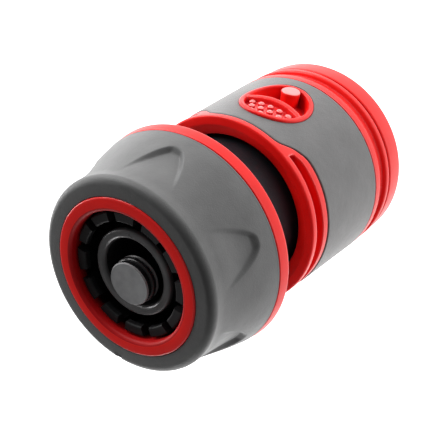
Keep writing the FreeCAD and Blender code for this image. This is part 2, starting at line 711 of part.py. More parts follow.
def make_clamp_collet():
    tip_outer, root_outer = collet_finger_radii()
    tip_z = NUT_FRONT_Z - FINGER_TIP_DROP
    cone_top = NUT_FRONT_Z - NUT_BORE_LENGTH
    cone_low = cone_top - NUT_CONE_LENGTH
    inner = root_outer - FINGER_THICKNESS
    foot_top = BARREL_TOP_Z + COLLET_FOOT_HEIGHT
    solid = turned([
        (inner, BARREL_TOP_Z),
        (COLLET_FOOT_R, BARREL_TOP_Z),
        (COLLET_FOOT_R, foot_top),
        (COLLET_BEAD_R, foot_top),
        (COLLET_BEAD_R, foot_top + COLLET_BEAD),
        (root_outer, foot_top + COLLET_BEAD),
        (root_outer, cone_low),
        (tip_outer, cone_top),
        (tip_outer, tip_z, 0.3),
        (inner - FINGER_HOOK, tip_z, 0.3),
        (inner - FINGER_HOOK, tip_z - FINGER_TIP_LENGTH * 0.5),
        (inner, tip_z - FINGER_TIP_LENGTH),
    ])
    slot = box(SPIGOT_R, COLLET_BEAD_R + MOVE_GAP, FINGER_SLOT, foot_top + COLLET_BEAD, NUT_FRONT_Z)
    return solid.cut(around(slot, FINGER_COUNT, FINGER_SLOT_ANGLE))


def nut_outline(offset, low, high, steps=6):
    """Points up the nut's outside, drawn in by an offset."""
    points = []
    for index in range(steps + 1):
        z = low + (high - low) * index / steps
        points.append((nut_radius(z) - offset, z))
    return points


def flame_prism():
    """Flame-shaped prism along +X: pointed at the rear and open towards the front."""
    apex_z = DENT_APEX_Z
    front_z = DENT_FRONT_Z
    half = NUT_FRONT_R * math.sin(math.radians(DENT_HALF_ANGLE))
    middle_z = (apex_z + front_z) / 2
    apex = vec(0, 0, apex_z)
    left = vec(0, half, front_z)
    right = vec(0, -half, front_z)
    left_arc = Part.Arc(apex, vec(0, half / 2 + DENT_SAG, middle_z), left)
    right_arc = Part.Arc(right, vec(0, -half / 2 - DENT_SAG, middle_z), apex)
    top_arc = Part.Arc(left, vec(0, 0, front_z + DENT_SAG), right)
    wire = Part.Wire([left_arc.toShape(), top_arc.toShape(), right_arc.toShape()])
    return Part.Face(wire).extrude(vec(2 * NUT_REAR_R, 0, 0))


def dent_ring():
    """Skin of the nut that a dent takes away: deepest at the apex, nothing at the front."""
    low = DENT_APEX_Z
    high = DENT_FRONT_Z + DENT_SAG
    inner = []
    for index in range(5):
        share = index / 4
        z = low + (high - low) * share
        inner.append((nut_radius(z) - DENT_DEPTH * (1 - share * share) - 0.02, z))
    return turned(inner + [(2 * NUT_REAR_R, high), (2 * NUT_REAR_R, low)])


def make_nut_grip():
    low = NUT_REAR_Z + NUT_RIM
    high = NUT_FRONT_Z
    outer = nut_outline(0, low, high)
    inner = nut_outline(NUT_GRIP_THICKNESS, low, high - NUT_GRIP_THICKNESS)
    inner.reverse()
    front = (outer[-1][0], outer[-1][1], NUT_FRONT_EDGE)
    solid = turned(outer[:-1] + [front, (NUT_RED_RING_R, high), (NUT_RED_RING_R, high - NUT_GRIP_THICKNESS)] + inner)
    flame = flame_prism().common(dent_ring())
    notch = box(NUT_FRONT_R - NOTCH_DEPTH, NUT_REAR_R, NOTCH_WIDTH, high - NOTCH_DEPTH, high + NOTCH_DEPTH)
    return solid.cut(around(flame, DENT_COUNT) + [spun(notch, 180)])


def make_nut_shell():
    low = NUT_REAR_Z + NUT_RIM
    front = NUT_FRONT_Z + NUT_RED_PROUD
    cone_top = NUT_FRONT_Z - NUT_BORE_LENGTH
    cone_low = cone_top - NUT_CONE_LENGTH
    bead_low = BARREL_TOP_Z + COLLET_FOOT_HEIGHT - MOVE_GAP
    bead_high = BARREL_TOP_Z + COLLET_FOOT_HEIGHT + COLLET_BEAD + MOVE_GAP
    thread_bore = THREAD_R + MOVE_GAP
    lip_low = BARREL_TOP_Z + MOVE_GAP
    core = nut_outline(NUT_GRIP_THICKNESS, low, NUT_FRONT_Z - NUT_GRIP_THICKNESS)
    return turned([
        (thread_bore, NUT_REAR_Z, 0.3),
        (nut_radius(NUT_REAR_Z), NUT_REAR_Z, NUT_EDGE),
        (nut_radius(low), low, 0.2),
    ] + core + [
        (NUT_RED_RING_R, NUT_FRONT_Z - NUT_GRIP_THICKNESS),
        (NUT_RED_RING_R, front, 0.3),
        (NUT_OPENING_R, front, NUT_EDGE),
        (NUT_OPENING_R, cone_top),
        (NUT_CONE_R, cone_low),
        (NUT_CONE_R, bead_high),
        (COLLET_BEAD_R + MOVE_GAP, bead_high),
        (COLLET_BEAD_R + MOVE_GAP, bead_low),
        (COLLET_FOOT_R + MOVE_GAP, bead_low),
        (COLLET_FOOT_R + MOVE_GAP, lip_low),
        (thread_bore, lip_low),
    ])


def make_sleeve_spring():
    return spring(SLEEVE_SPRING_R, SLEEVE_SPRING_WIRE, LEDGE_TOP_Z, SHOULDER_Z, SLEEVE_SPRING_TURNS)


def make_valve_spring():
    low = HEAD_TOP_Z + (VALVE_SPRING_R + VALVE_SPRING_WIRE / 2) * LEAN_SLOPE
    return spring(VALVE_SPRING_R, VALVE_SPRING_WIRE, low, SPIGOT_Z, VALVE_SPRING_TURNS)


def build():
    sleeve_grip = make_sleeve_grip()
    nodes = {
        "barrel": make_barrel(),
        "retaining_ring": make_retaining_ring(),
        "sleeve_grip": sleeve_grip,
        "sleeve_shell": make_sleeve_shell(sleeve_grip),
        "sleeve_spring": make_sleeve_spring(),
        "plunger": make_plunger(),
        "plunger_seal": make_plunger_seal(),
        "plunger_foot": make_plunger_foot(),
        "plunger_guide": make_plunger_guide(),
        "valve_spring": make_valve_spring(),
        "valve_cap": make_valve_cap(),
        "cap_ring": make_cap_ring(),
        "spigot": make_spigot(),
        "spigot_seal": make_spigot_seal(),
        "clamp_collet": make_clamp_collet(),
        "nut_shell": make_nut_shell(),
        "nut_grip": make_nut_grip(),
    }
    for index, pawl in enumerate(around(make_pawl(), PAWL_COUNT)):
        nodes["pawl_%d" % (index + 1)] = pawl
    return nodes


def main():
    os.makedirs("parts", exist_ok=True)
    for name, shape in build().items():
        if shape.ShapeType == "Compound" and len(shape.Solids) == 1:
            shape = shape.Solids[0]
        shape.exportStep("parts/%s.step" % name)


main()
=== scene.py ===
"""Looks of a garden hose quick connector, standing on its quick-connect end.

Sizes are in millimetres in the object's own frame and turn into metres when a mesh is made.
"""

import bmesh
import bpy
import json
import math
from mathutils import Matrix, Vector


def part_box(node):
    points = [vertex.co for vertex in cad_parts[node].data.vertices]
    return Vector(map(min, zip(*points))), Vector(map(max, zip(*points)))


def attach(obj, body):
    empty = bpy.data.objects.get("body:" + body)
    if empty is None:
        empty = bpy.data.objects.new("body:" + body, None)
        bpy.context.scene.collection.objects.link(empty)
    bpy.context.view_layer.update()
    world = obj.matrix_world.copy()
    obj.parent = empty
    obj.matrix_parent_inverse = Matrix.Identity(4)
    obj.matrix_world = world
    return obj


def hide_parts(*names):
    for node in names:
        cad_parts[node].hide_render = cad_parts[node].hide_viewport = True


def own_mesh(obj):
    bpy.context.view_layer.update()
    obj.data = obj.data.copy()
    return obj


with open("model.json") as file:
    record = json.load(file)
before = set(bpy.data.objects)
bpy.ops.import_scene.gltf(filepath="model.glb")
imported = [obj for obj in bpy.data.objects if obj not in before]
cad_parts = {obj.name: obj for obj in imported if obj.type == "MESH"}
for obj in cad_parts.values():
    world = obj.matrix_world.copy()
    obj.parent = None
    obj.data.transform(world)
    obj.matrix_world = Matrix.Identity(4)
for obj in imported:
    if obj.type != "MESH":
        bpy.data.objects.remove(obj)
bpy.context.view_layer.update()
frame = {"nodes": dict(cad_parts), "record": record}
MM = 0.001


def low_z(node):
    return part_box(node)[0].z / MM


def high_z(node):
    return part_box(node)[1].z / MM


def outer_r(node):
    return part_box(node)[1].x / MM


# Heights and radii read from the fixed frame
FOOT_Z = low_z("sleeve_shell")
SLEEVE_TOP_Z = high_z("sleeve_shell")
COLLAR_TOP_Z = low_z("sleeve_grip")
LEDGE_TOP_Z = low_z("sleeve_spring")
SHOULDER_Z = high_z("sleeve_spring")
NUT_REAR_Z = low_z("nut_shell")
NUT_FRONT_Z = high_z("nut_grip")
RED_FRONT_Z = high_z("nut_shell")
GRIP_LOW_Z = low_z("nut_grip")
THREAD_TOP_Z = high_z("barrel")
SPIGOT_LOW_Z = low_z("spigot")
SPIGOT_LIP_Z = high_z("spigot")
NUT_REAR_R = outer_r("nut_shell")
SEAL_Z = (low_z("plunger_seal") + high_z("plunger_seal")) / 2

# Sleeve
SLEEVE_TOP_R = 16.0
SLEEVE_LOW_R = 16.6
SLEEVE_OPENING_R = 12.8
SLEEVE_CAVITY_R = 13.3
SLEEVE_CEILING = 1.7
BEVEL_WIDTH = 1.8
BEVEL_DEPTH = 0.9
LEDGE_THICKNESS = 1.5
LEDGE_R = 11.55
CAM_LOW_R = 13.63
CAM_HIGH_R = 11.8
GRIP_THICKNESS = 1.1
GRIP_GAP = 0.06
GRIP_TOP_GAP = 0.1
FOOT_ROOM = 1.7
FOOT_ROOM_R = 14.55
COLLAR_GROOVE = 0.75
COLLAR_BAND = 4.0
COLLAR_RIB = 1.3
COLLAR_RIB_STEP = 0.4
COLLAR_LAND = 1.75

# Crescents: edge of the soft grip as (angle from the crescent's middle, drop from the sleeve's top)
CRESCENT_EDGE = ((0, 4.5), (20, 4.45), (40, 4.4), (50, 4.2), (56, 3.5), (60, 2.85), (63, 2.15), (66, 1.5),
                 (70, 1.15), (90, 1.15))
# Finger slot: drop of its upper edge, and width as (angle from the crescent's middle, width)
SLOT_FLANGE = 1.15
SLOT_SHAPE = ((0, 2.0), (20, 1.9), (45, 1.75), (51, 1.6), (55, 1.2), (57, 0.9), (57.4, 0.03), (90, 0.03))
SLOT_DEPTH = 1.5
SLOT_LEAST = 0.03

# Oval windows
OVAL_TOP_DROP = 3.85
OVAL_LENGTH = 13.05
OVAL_WIDTH = 11.5
OVAL_RIM = 0.85
OVAL_PROUD = 0.25
OVAL_FLOOR_R = 14.1
OVAL_ROOT = 0.4
OVAL_PAD_DEPTH = 0.9
OVAL_LAP = 0.1
OVAL_CUT_LOW_R = OVAL_FLOOR_R - 0.5
OVAL_CUT_HIGH_R = SLEEVE_LOW_R + 3
OVAL_CENTRE_Z = SLEEVE_TOP_Z - OVAL_TOP_DROP - OVAL_LENGTH / 2
RIDGE_R = 13.0
RIDGE_WIDTH = 0.95
RIDGE_DROP = 10.45
RIDGE_SUNK = 0.05
RIDGE_BULGE = 0.12
RIDGE_FOOT = 0.3
POCKET_WALL = 0.35
PEG_R = 1.55
PEG_DROP = 14.475
PEG_PROUD = 0.4
STUD_ROUNDING = 0.3
STUD_ROOT = 0.3
DOT_R = 0.55
DOT_HEIGHT = 0.5
DOT_DOME = 0.08
DOT_PITCH = 1.75
# Rows of dots as (drop from the sleeve's top, number of dots)
DOT_ROWS = ((5.6, 3), (7.1, 4), (8.6, 5))

# Nut
NUT_FRONT_R = 14.85
NUT_SAG = 0.05
NUT_FRONT_EDGE = 1.2
NUT_REAR_EDGE = 0.2
NUT_FRONT_BULGE = 0.75
NUT_FRONT_BULGE_REACH = 0.2
NUT_OPENING_R = 10.2
NUT_RED_RING_R = 12.4
NUT_GRIP_THICKNESS = 1.6
NUT_CONE_R = 11.6
NUT_BORE_LENGTH = 2.2
NUT_CONE_LENGTH = 3.6
NUT_THREAD_BORE = 13.95
SEAT_R = 12.95
SEAT_LIP_R = 12.35
SEAT_HIGH_Z = THREAD_TOP_Z + 2.35
SEAT_LOW_Z = THREAD_TOP_Z + 1.05
SEAT_LIP_Z = THREAD_TOP_Z + 0.35
DENT_COUNT = 6
DENT_TURN = 1.5
DENT_DEPTH = 0.75
DENT_APEX_DROP = 10.2
DENT_FRONT_DROP = 2.7
DENT_HALF_ANGLE = 17.0
DENT_SPREAD = 0.62
DENT_WALL = 0.7
DENT_RISE = 0.12
DENT_FADE_FROM = 0.15
NOTCH_WIDTH = 1.3
NOTCH_DEPTH = 0.7
NOTCH_CUT = 1.5
NOTCH_SQUARE = 0.4

# Spigot, cap and lean of the plunger
SPIGOT_R = 6.81
SPIGOT_BORE_R = 5.31
SPIGOT_SHANK_R = 8.2
SPIGOT_BARB = 0.4
SPIGOT_LIP = 0.7
SPIGOT_ROOT_R = 6.0
SPIGOT_ROOT = 3.0
SEAL_GROOVE = 1.3
SEAL_PLAY = 0.35
CAP_R = 3.35
CAP_THICKNESS = 0.9
CAP_STEM_R = 1.4
CAP_MIDDLE_R = 0.004
CAP_WAIST_R = 2.1
CAP_WAIST = 1.7
CAP_RING_R = 3.55
CAP_FACE = 0.3
CAP_FLANGE_DEPTH = 2.1
CAP_FLANGE = 0.35
CAP_MARGIN = 0.02
LEAN = 1.9
LEAN_AZIMUTH = -129.0

# Springs: coil radius, wire and turns
SLEEVE_SPRING = (12.0, 0.9, 5)
VALVE_SPRING = (4.3, 0.7, 5)

# Fineness of the meshes
COLUMNS = 480
FINE_COLUMNS = 720
ROUND_COLUMNS = 240
CAP_COLUMNS = 160
RING_COLUMNS = 120
ARC_STEPS = 6

# Camera, fitted to the edge circles of the object in the photo of 445 by 446 pixels
PHOTO_HEIGHT_PX = 446.0
FOCAL_PX = 973.8
CAMERA_DISTANCE = 138.603
CAMERA_TILT = 50.164
CAMERA_AIM = (-0.0076, -0.1113)
CAMERA_ROLL = -123.816
CAMERA_TARGET_DROP = 0.7
CAMERA_AZIMUTH = -39.0

# Looks: how far the painted shade reaches into grooves and the painted highlight along edges of the red, in
# millimetres
GROOVE_SHADE_REACH = 1.6
EDGE_HIGHLIGHT_REACH = 0.45

# Light: table glow, walls and ceiling in radiance
FLOOR_GLOW = 1.7
FLOOR_HALF = 2.0
WALL_LIGHT = 0.6
CEILING_LIGHT = 0.14
CEILING_FROM = 0.5
# Lamps behind the object as (name, azimuth, elevation, distance, size, power)
RIMS = (
    ("rim_top", 100.0, 14.0, 0.45, 0.2, 0.9),
    ("rim_low", 172.0, 14.0, 0.45, 0.2, 0.6),
)
# Lamps beside the camera as (name, right, up and back shares, distance, size, power)
LAMPS = (
    ("top_left", -0.7, 1.0, 0.1, 0.45, 0.3, 2.6),
    ("right", 1.0, 0.5, 0.3, 0.5, 0.35, 0.15),
)


def smooth(share):
    share = min(max(share, 0.0), 1.0)
    return share * share * (3 - 2 * share)


def rounded(points, steps=ARC_STEPS):
    """Outline of (r, z) or (r, z, radius) corners with arcs at the rounded ones.

    The number of points doesn't depend on the sizes, so outlines of neighbouring azimuths match.
    """
    line = []
    count = len(points)
    for index, point in enumerate(points):
        here = Vector(point[:2])
        if len(point) < 3:
            line.append((here.x, here.y))
            continue
        before = Vector(points[index - 1][:2]) - here
        after = Vector(points[(index + 1) % count][:2]) - here
        reach = min(before.length, after.length) * 0.49
        if reach < 1e-5:
            line.extend([(here.x, here.y)] * (steps + 1))
            continue
        before.normalize()
        after.normalize()
        half = max(before.angle(after) / 2, 0.02)
        if half > math.pi / 2 - 0.01:
            line.extend([(here.x, here.y)] * (steps + 1))
            continue
        radius = min(point[2], reach * math.tan(half))
        centre = here + (before + after).normalized() * (radius / math.sin(half))
        first = here + before * (radius / math.tan(half)) - centre
        last = here + after * (radius / math.tan(half)) - centre
        sweep = first.angle(last)
        for step in range(steps + 1):
            share = step / steps
            arm = (first * math.sin((1 - share) * sweep) + last * math.sin(share * sweep)) / math.sin(sweep)
            line.append((centre.x + arm.x, centre.y + arm.y))
    return line


def mesh_object(name, points, faces, sharp=38.0):
    """Closed mesh from points in millimetres, with normals outwards and only true edges sharp."""
    mesh = bpy.data.meshes.new(name)
    mesh.from_pydata([Vector(point) * MM for point in points], [], faces)
    form = bmesh.new()
    form.from_mesh(mesh)
    bmesh.ops.remove_doubles(form, verts=form.verts, dist=1e-7)
    bmesh.ops.dissolve_degenerate(form, edges=form.edges, dist=1e-8)
    bmesh.ops.recalc_face_normals(form, faces=form.faces)
    form.to_mesh(mesh)
    form.free()
    piece = bpy.data.objects.new(name, mesh)
    bpy.context.scene.collection.objects.link(piece)
    shade(piece, sharp)
    return piece


def shade(piece, sharp=38.0):
    for face in piece.data.polygons:
        face.use_smooth = True
    piece.data.set_sharp_from_angle(angle=math.radians(sharp))


def turned(name, profile, columns=COLUMNS, turn=0.0):
    """Closed profile (r, z) swept round the axis; the profile may be a function of the azimuth."""
    points = []
    rows = 0
    for column in range(columns):
        azimuth = turn + 360.0 * column / columns
        line = profile(azimuth) if callable(profile) else profile
        rows = len(line)
        across = math.radians(azimuth)
        for r, z in line:
            points.append((r * math.cos(across), r * math.sin(across), z))
    faces = []
    for column in range(columns):
        right = (column + 1) % columns
        for row in range(rows):
            above = (row + 1) % rows
            faces.append((column * rows + row, right * rows + row,
                          right * rows + above, column * rows + above))
    return mesh_object(name, points, faces)


def disc_field(name, rings, columns):
    """Closed form from rings of points; the first and the last ring are single points."""
    points = []
    starts = []
    for ring in rings:
        starts.append(len(points))
        points.extend(ring)
    faces = []
    for index in range(len(rings) - 1):
        here = rings[index]
        there = rings[index + 1]
        for column in range(columns):
            right = (column + 1) % columns
            if len(here) == 1:
                faces.append((starts[index], starts[index + 1] + column, starts[index + 1] + right))
            elif len(there) == 1:
                faces.append((starts[index] + column, starts[index + 1], starts[index] + right))
            else:
                faces.append((starts[index] + column, starts[index + 1] + column,
                              starts[index + 1] + right, starts[index] + right))
    return mesh_object(name, points, faces)


def joined(name, pieces):
    """One object from several closed meshes."""
    whole = bmesh.new()
    for piece in pieces:
        whole.from_mesh(piece.data)
    mesh = bpy.data.meshes.new(name)
    whole.to_mesh(mesh)
    whole.free()
    for piece in pieces:
        bpy.data.objects.remove(piece)
    result = bpy.data.objects.new(name, mesh)
    bpy.context.scene.collection.objects.link(result)
    shade(result)
    return result


def cut(piece, cutters):
    """Takes the cutters' space out of a closed piece and removes the cutters."""
    for cutter in cutters:
        change = piece.modifiers.new("cut", "BOOLEAN")
        change.operation = "DIFFERENCE"
        change.solver = "MANIFOLD"
        change.object = cutter
    bpy.context.view_layer.update()
    graph = bpy.context.evaluated_depsgraph_get()
    mesh = bpy.data.meshes.new_from_object(piece.evaluated_get(graph))
    piece.modifiers.clear()
    piece.data = mesh
    for cutter in cutters:
        bpy.data.objects.remove(cutter)
    shade(piece)
    return piece


def spun(piece, angle):
    """Turns a piece's mesh about the axis."""
    piece.data.transform(Matrix.Rotation(math.radians(angle), 4, "Z"))
    return piece


def lean(piece):
    """Tilts a plunger piece about its seat, as far as the play in its guide lets it."""
    across = math.radians(LEAN_AZIMUTH)
    pivot = Vector((0, 0, SEAL_Z * MM))
    tilt = Matrix.Rotation(math.radians(LEAN), 4, Vector((-math.sin(across), math.cos(across), 0)))
    piece.data.transform(Matrix.Translation(pivot) @ tilt @ Matrix.Translation(-pivot))
    return piece


def spread(table, value):
    """Smooth curve through a table of (place, height), flat at its first point."""
    for index in range(len(table) - 1):
        start, low = table[index]
        end, high = table[index + 1]
        if value <= end:
            share = (value - start) / (end - start)
            before = table[max(index - 1, 0)]
            after = table[min(index + 2, len(table) - 1)]
            low_slope = (high - before[1]) / (end - before[0]) if index else 0
            high_slope = (after[1] - low) / (after[0] - start)
            span = end - start
            square = share * share
            cube = square * share
            return ((2 * cube - 3 * square + 1) * low + (cube - 2 * square + share) * span * low_slope
                    + (3 * square - 2 * cube) * high + (cube - square) * span * high_slope)
    return table[-1][1]


def sleeve_radius(z):
    share = (z - COLLAR_TOP_Z) / (SLEEVE_TOP_Z - COLLAR_TOP_Z)
    return SLEEVE_LOW_R + (SLEEVE_TOP_R - SLEEVE_LOW_R) * share


def nut_radius(z):
    share = (NUT_FRONT_Z - z) / (NUT_FRONT_Z - NUT_REAR_Z)
    rise = NUT_REAR_R - NUT_FRONT_R
    bulge = NUT_FRONT_BULGE * max(0.0, 1 - share / NUT_FRONT_BULGE_REACH) ** 2
    return NUT_FRONT_R + rise * (share - NUT_SAG * math.sin(2 * math.pi * share)) + bulge


def from_crescent(azimuth):
    """Angle between an azimuth and the middle of the nearest crescent, 0 to 90."""
    return abs((azimuth % 180.0) - 90.0)


# Sleeve pieces

def grip_profile(azimuth):
    drop = spread(CRESCENT_EDGE, from_crescent(azimuth)) + GRIP_TOP_GAP
    top = SLEEVE_TOP_Z - drop
    low = COLLAR_TOP_Z + GRIP_GAP
    rows = 36
    outside = []
    for row in range(1, rows):
        z = low + (top - low) * row / rows
        outside.append((sleeve_radius(z), z))
    return rounded([(sleeve_radius(low) - GRIP_THICKNESS, low), (sleeve_radius(low), low, 0.25)] + outside
                   + [(sleeve_radius(top), top, 0.25), (sleeve_radius(top) - GRIP_THICKNESS, top)])


def oval_cutter(margin):
    """Elliptical prism along +X, for the opening that the oval insert fills."""
    count = 128
    rings = []
    for x in (OVAL_CUT_LOW_R, OVAL_CUT_HIGH_R):
        ring = []
        for step in range(count):
            angle = 2 * math.pi * step / count
            y = (OVAL_WIDTH / 2 + margin) * math.cos(angle)
            z = OVAL_CENTRE_Z + (OVAL_LENGTH / 2 + margin) * math.sin(angle)
            ring.append((x, y, z))
        rings.append(ring)
    ends = [[(OVAL_CUT_LOW_R, 0, OVAL_CENTRE_Z)]] + rings + [[(OVAL_CUT_HIGH_R, 0, OVAL_CENTRE_Z)]]
    return disc_field("oval_cutter", ends, count)


def make_sleeve_grip():
    piece = turned("sleeve_grip_skin", grip_profile, FINE_COLUMNS)
    return cut(piece, [oval_cutter(GRIP_GAP), spun(oval_cutter(GRIP_GAP), 180)])


def shell_profile(azimuth):
    angle = from_crescent(azimuth)
    drop = spread(CRESCENT_EDGE, angle)
    skin = SLEEVE_TOP_R
    band_top = FOOT_Z + COLLAR_BAND
    rib_low = band_top + COLLAR_RIB_STEP
    rib_top = rib_low + COLLAR_RIB
    groove_top = COLLAR_TOP_Z - COLLAR_LAND
    deep = SLEEVE_LOW_R - COLLAR_GROOVE
    collar = [
        (SLEEVE_LOW_R - 0.1, FOOT_Z, 0.9),
        (SLEEVE_LOW_R - 0.1, band_top, 0.5),
        (deep, band_top + 0.2, 0.1),
        (deep, rib_low, 0.1),
        (SLEEVE_LOW_R, rib_low + 0.1, 0.5),
        (SLEEVE_LOW_R, rib_top, 0.5),
        (deep, rib_top + 0.2, 0.1),
        (deep, groove_top, 0.1),
        (SLEEVE_LOW_R, groove_top + 0.1, 0.4),
        (SLEEVE_LOW_R, COLLAR_TOP_Z, 0.15),
        (SLEEVE_LOW_R - GRIP_THICKNESS, COLLAR_TOP_Z),
    ]
    border_drop = max(drop, 0.3)
    width = max(spread(SLOT_SHAPE, angle), SLOT_LEAST)
    slot_high = min(SLOT_FLANGE, border_drop * 0.5)
    slot_low = min(slot_high + width, border_drop - 0.1)
    depth = SLOT_DEPTH * smooth((width - SLOT_LEAST) / 0.4)
    top = SLEEVE_TOP_Z
    edge = 0.18
    body = [
        (skin - GRIP_THICKNESS, top - border_drop - 0.02),
        (skin, top - border_drop + 0.02, edge),
        (skin, top - slot_low, edge),
        (skin - depth, top - slot_low + 0.004, 0.2),
        (skin - depth, top - slot_high - 0.004, 0.2),
        (skin, top - slot_high, 0.12),
        (skin, top, 0.35),
        (SLEEVE_OPENING_R + BEVEL_WIDTH, top - 0.02, 0.3),
        (SLEEVE_OPENING_R, top - BEVEL_DEPTH, 0.15),
        (SLEEVE_OPENING_R, top - SLEEVE_CEILING),
        (SLEEVE_CAVITY_R, top - SLEEVE_CEILING - 0.5),
        (SLEEVE_CAVITY_R, LEDGE_TOP_Z),
        (LEDGE_R, LEDGE_TOP_Z),
        (LEDGE_R, LEDGE_TOP_Z - LEDGE_THICKNESS),
        (CAM_HIGH_R, LEDGE_TOP_Z - LEDGE_THICKNESS),
        (CAM_LOW_R, FOOT_Z + FOOT_ROOM),
        (FOOT_ROOM_R, FOOT_Z + FOOT_ROOM),
        (FOOT_ROOM_R, FOOT_Z),
    ]
    return rounded(collar + body)


def oval_insert():
    """Rim, pocket, ridge and pad of one oval window on +X, as rings of ellipses from the middle outwards."""
    columns = 200
    steps = 64
    ridge_z = SLEEVE_TOP_Z - RIDGE_DROP + RIDGE_R
    surface = sleeve_radius(OVAL_CENTRE_Z)
    crest = surface + OVAL_PROUD
    brow = surface - RIDGE_SUNK

    def ground(y, z):
        """Radius of the hollow's floor: pad inside the ridge circle, deep pocket below it."""
        away = math.hypot(y, z - ridge_z) - RIDGE_R
        if z > ridge_z:
            away = min(away, -RIDGE_WIDTH)
        pad = surface - OVAL_PAD_DEPTH
        half = RIDGE_WIDTH / 2
        if away < -half:
            lift = smooth((away + half + RIDGE_FOOT) / RIDGE_FOOT)
            return pad + (brow - pad) * lift
        if away < half:
            return brow + RIDGE_BULGE * (1 - (away / half) ** 2)
        fall = smooth((away - half) / POCKET_WALL)
        return brow + (OVAL_FLOOR_R - brow) * fall

    inner_w = OVAL_WIDTH / 2 - OVAL_RIM
    inner_l = OVAL_LENGTH / 2 - OVAL_RIM
    rings = [[place_round(ground(0, OVAL_CENTRE_Z), 0, OVAL_CENTRE_Z)]]
    for step in range(1, steps + 1):
        share = step / steps
        ring = []
        for column in range(columns):
            angle = 2 * math.pi * column / columns
            y = inner_w * share * math.cos(angle)
            z = OVAL_CENTRE_Z + inner_l * share * math.sin(angle)
            ring.append(place_round(ground(y, z), y, z))
        rings.append(ring)
    # Rim section as (way outwards from the hollow's edge, radius)
    root = OVAL_FLOOR_R - OVAL_ROOT
    section = rounded([(0, crest - OVAL_PAD_DEPTH), (0, crest, 0.3),
                       (OVAL_RIM, crest, 0.35), (OVAL_RIM, root)])
    for way, r in section[1:-1] + [(OVAL_RIM, root)]:
        ring = []
        for column in range(columns):
            angle = 2 * math.pi * column / columns
            y = (inner_w + way) * math.cos(angle)
            z = OVAL_CENTRE_Z + (inner_l + way) * math.sin(angle)
            ring.append(place_round(r, y, z))
        rings.append(ring)
    rings.append([place_round(root, 0, OVAL_CENTRE_Z)])
    return disc_field("oval_insert", rings, columns)


def place_round(r, y, z):
    """Point at radius r, as far round from +X as the arc length y says."""
    angle = y / SLEEVE_TOP_R
    return (r * math.cos(angle), r * math.sin(angle), z)


def button(radius, base, height, y, z, dome):
    """Small round stud standing on the sleeve's +X side, with a rounded rim and a slightly domed top."""
    columns = 28
    profile = [(0, height + dome), (radius * 0.5, height + dome * 0.75)]
    edge = min(radius * 0.45, height * 0.6, STUD_ROUNDING)
    for step in range(5):
        angle = math.pi / 2 * step / 4
        profile.append((radius - edge + edge * math.sin(angle), height - edge + edge * math.cos(angle)))
    profile.append((radius * 1.04, -STUD_ROOT))
    profile.append((0, -STUD_ROOT))
    rings = []
    for r, up in profile:
        if r == 0:
            rings.append([place_round(base + up, y, z)])
            continue
        ring = []
        for column in range(columns):
            angle = 2 * math.pi * column / columns
            ring.append(place_round(base + up, y + r * math.cos(angle), z + r * math.sin(angle)))
        rings.append(ring)
    return disc_field("button", rings, columns)


def oval_studs():
    """Peg and dots of one oval window on +X, with their tops marked for the red with a painted highlight."""
    surface = sleeve_radius(OVAL_CENTRE_Z)
    studs = [button(PEG_R, OVAL_FLOOR_R, surface + PEG_PROUD - OVAL_FLOOR_R, 0, SLEEVE_TOP_Z - PEG_DROP, 0.0)]
    for drop, count in DOT_ROWS:
        for index in range(count):
            y = (index - (count - 1) / 2) * DOT_PITCH
            z = SLEEVE_TOP_Z - drop
            studs.append(button(DOT_R, surface - OVAL_PAD_DEPTH, DOT_HEIGHT, y, z, DOT_DOME))
    for stud in studs:
        # tops facing outwards take the red with a painted highlight
        for face in stud.data.polygons:
            face.material_index = 1 if face.normal.x > 0.6 else 0
    return studs


def make_sleeve_shell():
    shell = turned("shell_core", shell_profile, FINE_COLUMNS)
    cut(shell, [oval_cutter(-OVAL_LAP), spun(oval_cutter(-OVAL_LAP), 180)])
    parts = [shell]
    for side in (0, 180):
        parts.append(spun(oval_insert(), side))
        parts.extend(spun(stud, side) for stud in oval_studs())
    body = joined("sleeve_shell_body", parts)
    body.data.materials.append(LOOKS["red_plastic"])
    body.data.materials.append(LOOKS["highlight_red"])
    return body


# Nut pieces

def dent_depth(azimuth, z):
    """How far the flame-shaped dents sink the nut's skin: deepest near the apex, nothing at the front."""
    pitch = 360.0 / DENT_COUNT
    angle = (azimuth - DENT_TURN + pitch / 2) % pitch - pitch / 2
    apex = NUT_FRONT_Z - DENT_APEX_DROP
    front = NUT_FRONT_Z - DENT_FRONT_DROP
    share = (z - apex) / (front - apex)
    if share < 0 or share > 1:
        return 0.0
    reach = DENT_HALF_ANGLE * share ** DENT_SPREAD
    inside = math.radians(reach - abs(angle)) * nut_radius(z)
    wall = smooth(inside / DENT_WALL + 0.5)
    fade = smooth(share / DENT_RISE) * (1 - smooth((share - DENT_FADE_FROM) / (1 - DENT_FADE_FROM)))
    return DENT_DEPTH * wall * fade


def nut_grip_profile(azimuth):
    low = GRIP_LOW_Z
    high = NUT_FRONT_Z
    rows = 84
    edge = NUT_FRONT_EDGE
    soft = NUT_REAR_EDGE
    line = [(nut_radius(low) - NUT_GRIP_THICKNESS, low)]
    for step in range(5):
        angle = math.pi / 2 * step / 4
        line.append((nut_radius(low) - soft + soft * math.sin(angle), low + soft - soft * math.cos(angle)))
    for row in range(1, rows + 1):
        z = low + soft + (high - edge - low - soft) * row / rows
        line.append((nut_radius(z) - dent_depth(azimuth, z), z))
    side = line[-1][0]
    for step in range(1, 9):
        angle = math.pi / 2 * step / 8
        line.append((side - edge + edge * math.cos(angle), high - edge + edge * math.sin(angle)))
    line += [(NUT_RED_RING_R + 0.08, high), (NUT_RED_RING_R + 0.02, high - 0.06)]
    under = high - NUT_GRIP_THICKNESS
    line += [(NUT_RED_RING_R, under), (nut_radius(high) - NUT_GRIP_THICKNESS, under)]
    return line


